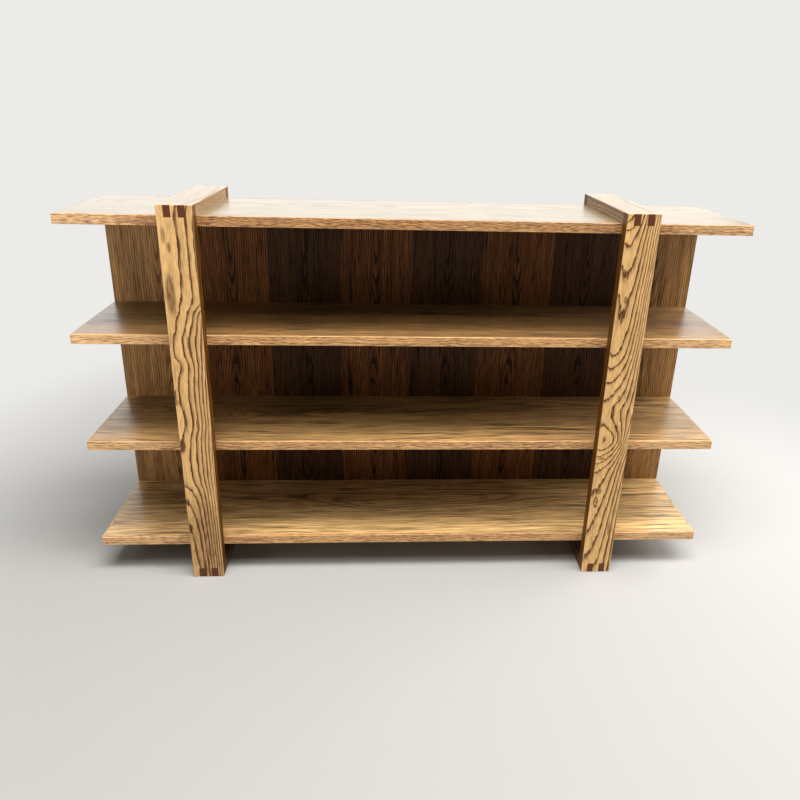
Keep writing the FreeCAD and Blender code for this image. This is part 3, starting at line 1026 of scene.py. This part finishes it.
def bare_wood(name, tones, share_of):
    """An unfinished wood that mixes two hex colours by a share worked out in its own tree."""
    material = bpy.data.materials.new(name)
    material.use_nodes = True
    tree = material.node_tree
    tree.nodes.clear()
    share = share_of(tree)
    pale, dark = [colour(tone) for tone in tones]
    skin = add(tree, "ShaderNodeMix", {0: share, first_colour: pale, second_colour: dark}, data_type="RGBA")
    relief = add(tree, "ShaderNodeBump", {"Height": share, "Strength": bare_relief, "Distance": bare_depth})
    shader = add(tree, "ShaderNodeBsdfPrincipled", {
        "Base Color": skin.outputs[mixed_colour], "Roughness": bare_roughness, "Normal": relief.outputs[0],
        "IOR": wood_ior})
    add(tree, "ShaderNodeOutputMaterial", {0: shader.outputs[0]})
    return material


plywood_flat = bare_wood("birch plywood, peeled and sanded", birch_tones, plies(2))
plywood_upright = bare_wood("birch plywood, peeled and sanded, upright", birch_tones, plies(1))
beech = bare_wood("beech, planed", beech_tones, ray_flecks)
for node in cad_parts:
    if node.endswith("core"):
        dress(node, plywood_upright if node.startswith("back") else plywood_flat)
    elif node.endswith("tenons"):
        dress(node, beech)
print("inside dressed")

# %% [markdown]
# ## The floor
# The piece stands on a plain pale floor that runs out of sight. It lies a hair below the posts, so that no
# two faces share one place.

# %% Lay the floor
floor_size = 24
floor_gap = 0.0005

bpy.ops.object.select_all(action="DESELECT")
bpy.ops.mesh.primitive_plane_add(size=floor_size, location=(0, 0, cad_low.z - floor_gap))
floor = bpy.context.active_object
floor.name = "studio_floor"
print("floor laid,", floor_size, "m wide")

# %% [markdown]
# Close to the piece the floor is matt paint that takes the shadow. Farther off it fades into the colour of
# the backdrop, but only for what the camera sees and for reflections, so that no extra light falls on the
# wood.

# %% Paint the floor
floor_paint = "#9e9c98"
backdrop = "#ecebe8"
fade_from, fade_to = 1.15, 2.6

floor_material = bpy.data.materials.new("matt studio floor, painted")
floor_material.use_nodes = True
tree = floor_material.node_tree
tree.nodes.clear()
coordinates = add(tree, "ShaderNodeTexCoord")
distance = add(tree, "ShaderNodeVectorMath", {0: coordinates.outputs["Object"]}, operation="LENGTH")
fade = add(tree, "ShaderNodeMapRange", {
    "Value": distance.outputs["Value"], "From Min": fade_from, "From Max": fade_to},
    interpolation_type="SMOOTHSTEP")
path = add(tree, "ShaderNodeLightPath")
mirrored = add(tree, "ShaderNodeMath", {
    0: path.outputs["Is Glossy Ray"], 1: path.outputs["Is Transmission Ray"]}, operation="MAXIMUM")
seen = add(tree, "ShaderNodeMath", {0: path.outputs["Is Camera Ray"], 1: mirrored.outputs[0]},
           operation="MAXIMUM")
far_off = add(tree, "ShaderNodeMath", {0: fade.outputs[0], 1: seen.outputs[0]}, operation="MULTIPLY")
matt = add(tree, "ShaderNodeBsdfDiffuse", {"Color": colour(floor_paint)})
glow = add(tree, "ShaderNodeEmission", {"Color": colour(backdrop), "Strength": 1.0})
mixed = add(tree, "ShaderNodeMixShader", {0: far_off.outputs[0], 1: matt.outputs[0], 2: glow.outputs[0]})
add(tree, "ShaderNodeOutputMaterial", {0: mixed.outputs[0]})
floor.data.materials.append(floor_material)
print("the floor fades out from", fade_from, "to", fade_to, "m")

# %% [markdown]
# ## The room
# The room is bright behind the piece and dim behind the camera. The camera sees one pale colour all round.
# Reflections see that colour in full at the back, which draws the pale glare on the flat tops, and only
# faintly at the front, which keeps the inside of the shelves deep. The light that the room itself gives to
# the wood is fainter still.

# %% Light the room
turn_from, turn_to = -0.3, 0.3
front_share = 0.2
room_light = 0.05

world = bpy.data.worlds.new("studio")
bpy.context.scene.world = world
world.use_nodes = True
tree = world.node_tree
tree.nodes.clear()
path = add(tree, "ShaderNodeLightPath")
direction = add(tree, "ShaderNodeTexCoord")
split = add(tree, "ShaderNodeSeparateXYZ", {0: direction.outputs["Generated"]})
behind = add(tree, "ShaderNodeMapRange", {
    "Value": split.outputs[1], "From Min": turn_from, "From Max": turn_to, "To Min": front_share})
mirrored = add(tree, "ShaderNodeMath", {
    0: path.outputs["Is Glossy Ray"], 1: path.outputs["Is Transmission Ray"]}, operation="MAXIMUM")
reflected = add(tree, "ShaderNodeMath", {0: mirrored.outputs[0], 1: behind.outputs[0]}, operation="MULTIPLY")
seen = add(tree, "ShaderNodeMath", {0: path.outputs["Is Camera Ray"], 1: reflected.outputs[0]},
           operation="MAXIMUM")
strength = add(tree, "ShaderNodeMapRange", {"Value": seen.outputs[0], "To Min": room_light})
background = add(tree, "ShaderNodeBackground", {"Color": colour(backdrop), "Strength": strength.outputs[0]})
add(tree, "ShaderNodeOutputWorld", {0: background.outputs[0]})
bpy.context.scene.view_settings.view_transform = "Standard"
print("room light:", room_light)

# %% [markdown]
# ## The lamps
# The light in the photograph comes almost straight down: it reaches only the front of each shelf, and the
# back is dark. Three softboxes high above give that, the first about a metre before the front edge and the
# others farther to the front. A fourth hangs to the right, where the shelves' ends are brighter, and one
# stands beside them. Two small ones stand before the open ends, the left one close to it. A long low one
# behind the piece puts the pale sheen on the flat tops. Each is given its place, what it faces, its length
# and width in metres, and its watts.

# %% Hang the lamps
def softbox(name, place, target, length, width, watts):
    """A rectangular lamp that faces its target."""
    lamp_data = bpy.data.lights.new(name, "AREA")
    lamp_data.shape = "RECTANGLE"
    lamp_data.size = length
    lamp_data.size_y = width
    lamp_data.energy = watts
    lamp = bpy.data.objects.new(name, lamp_data)
    lamp.location = place
    lamp.rotation_euler = (Vector(target) - Vector(place)).to_track_quat("-Z", "Y").to_euler()
    lamp.visible_camera = False
    bpy.context.scene.collection.objects.link(lamp)
    return lamp


lamps = (softbox("softbox overhead", (0, -1.1, 6.0), (0, -1.1, 0), 4, 1.0, 308),
         softbox("softbox overhead, in front", (0, -1.9, 6.0), (0, -1.9, 0), 4, 0.7, 155),
         softbox("softbox overhead, far in front", (0, -3.0, 6.0), (0, -3.0, 0), 4, 1.0, 130),
         softbox("softbox overhead, to the right", (3.5, -1.0, 6.0), (3.5, -1.0, 0), 3, 1.8, 310),
         softbox("softbox at the right", (3.0, 0.6, 1.4), (0.8, 0, 0.7), 1.2, 1.6, 80),
         softbox("softbox before the left end", (-1.7, -0.9, 1.15), (-0.95, 0.2, 1.0), 0.6, 0.8, 5),
         softbox("softbox before the right end", (2.4, -1.6, 1.3), (0.8, 0, 0.8), 0.8, 1.2, 6),
         softbox("long softbox behind", (0, 4.2, 2.1), (0, 0, 1.2), 7, 1.6, 47))
print("lamps:", [lamp.name for lamp in lamps])
